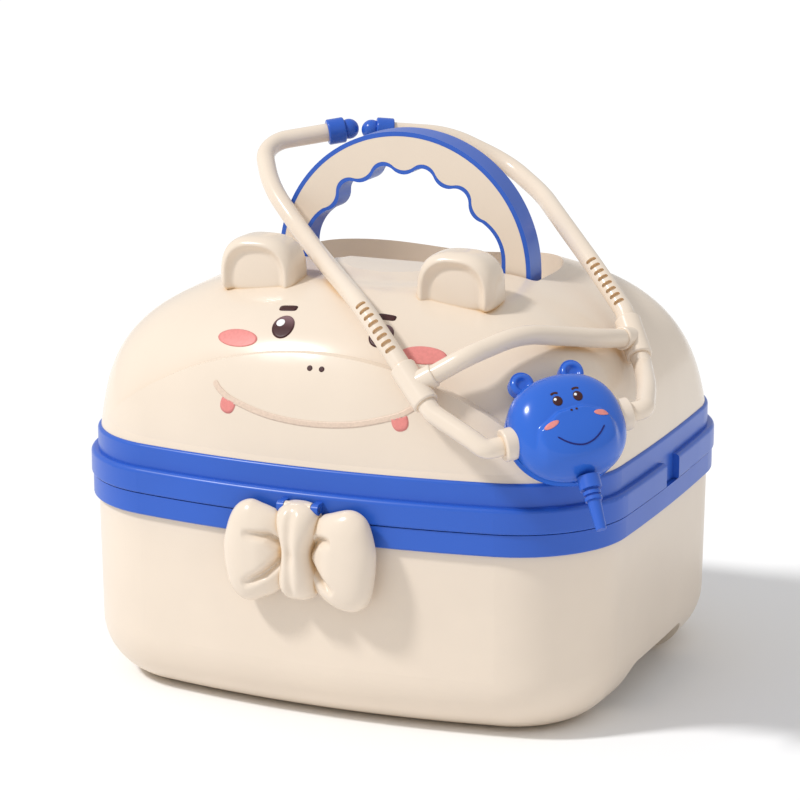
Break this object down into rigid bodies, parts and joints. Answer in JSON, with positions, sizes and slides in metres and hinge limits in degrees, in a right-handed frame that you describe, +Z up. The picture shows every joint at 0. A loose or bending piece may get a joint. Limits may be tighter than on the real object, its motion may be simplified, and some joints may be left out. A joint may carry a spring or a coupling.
{
  "type": "toy doctor case",
  "caption": "Toy doctor case with a cream tub, a hinged dome lid with ears, a fold-down handle, a bow latch, blue rims and a draped toy stethoscope.",
  "frame": {"origin": "on the floor at the middle of the tub", "axes": "+Z up, front of the case faces -Y, right side of the case (seen from the front) towards +X"},
  "size_m": [0.2635, 0.2425, 0.2385],
  "materials": {
    "cream_plastic": "smooth warm cream moulding with a soft sheen",
    "blue_plastic": "smooth royal blue moulding with a soft sheen",
    "steel": "plain drawn steel pin"
  },
  "bodies": {
    "base": {"base_tub": "cream_plastic", "base_rim": "blue_plastic", "hinge_pins": "steel"},
    "lid": {"lid_rim": "blue_plastic", "lid_shell": "cream_plastic", "left_ear": "cream_plastic", "right_ear": "cream_plastic", "handle_pins": "blue_plastic", "latch_pin": "steel"},
    "latch": {"latch_lever": "cream_plastic", "latch_bow": "cream_plastic"},
    "handle": {"handle_frame": "blue_plastic", "handle_front_panel": "cream_plastic", "handle_rear_panel": "cream_plastic"},
    "stethoscope": {"left_ear_tip": "blue_plastic", "right_ear_tip": "blue_plastic", "left_ear_tube": "cream_plastic", "right_ear_tube": "cream_plastic", "left_tee": "cream_plastic", "right_tee": "cream_plastic", "spreader_bar": "cream_plastic", "left_lower_tube": "cream_plastic", "right_lower_tube": "cream_plastic", "left_chest_collar": "cream_plastic", "right_chest_collar": "cream_plastic", "chest_front": "blue_plastic", "chest_rear": "blue_plastic", "cord_boot": "blue_plastic"}
  },
  "joints": [
    {"name": "lid_hinge", "type": "hinge", "parent": "base", "child": "lid", "pos_m": [0, 0.11312, 0.09185], "axis": [-1, 0, 0], "range_deg": [0, 100]},
    {"name": "latch_hinge", "type": "hinge", "parent": "lid", "child": "latch", "pos_m": [0, -0.1155, 0.0975], "axis": [-1, 0, 0], "range_deg": [0, 70]},
    {"name": "handle_fold", "type": "hinge", "parent": "lid", "child": "handle", "pos_m": [0, 0.00175, 0.165], "axis": [-1, 0, 0], "range_deg": [0, 90]},
    {"name": "stethoscope_lift", "type": "slide", "parent": "lid", "child": "stethoscope", "axis": [0, 0, 1], "range_m": [0, 0.12]}
  ]
}
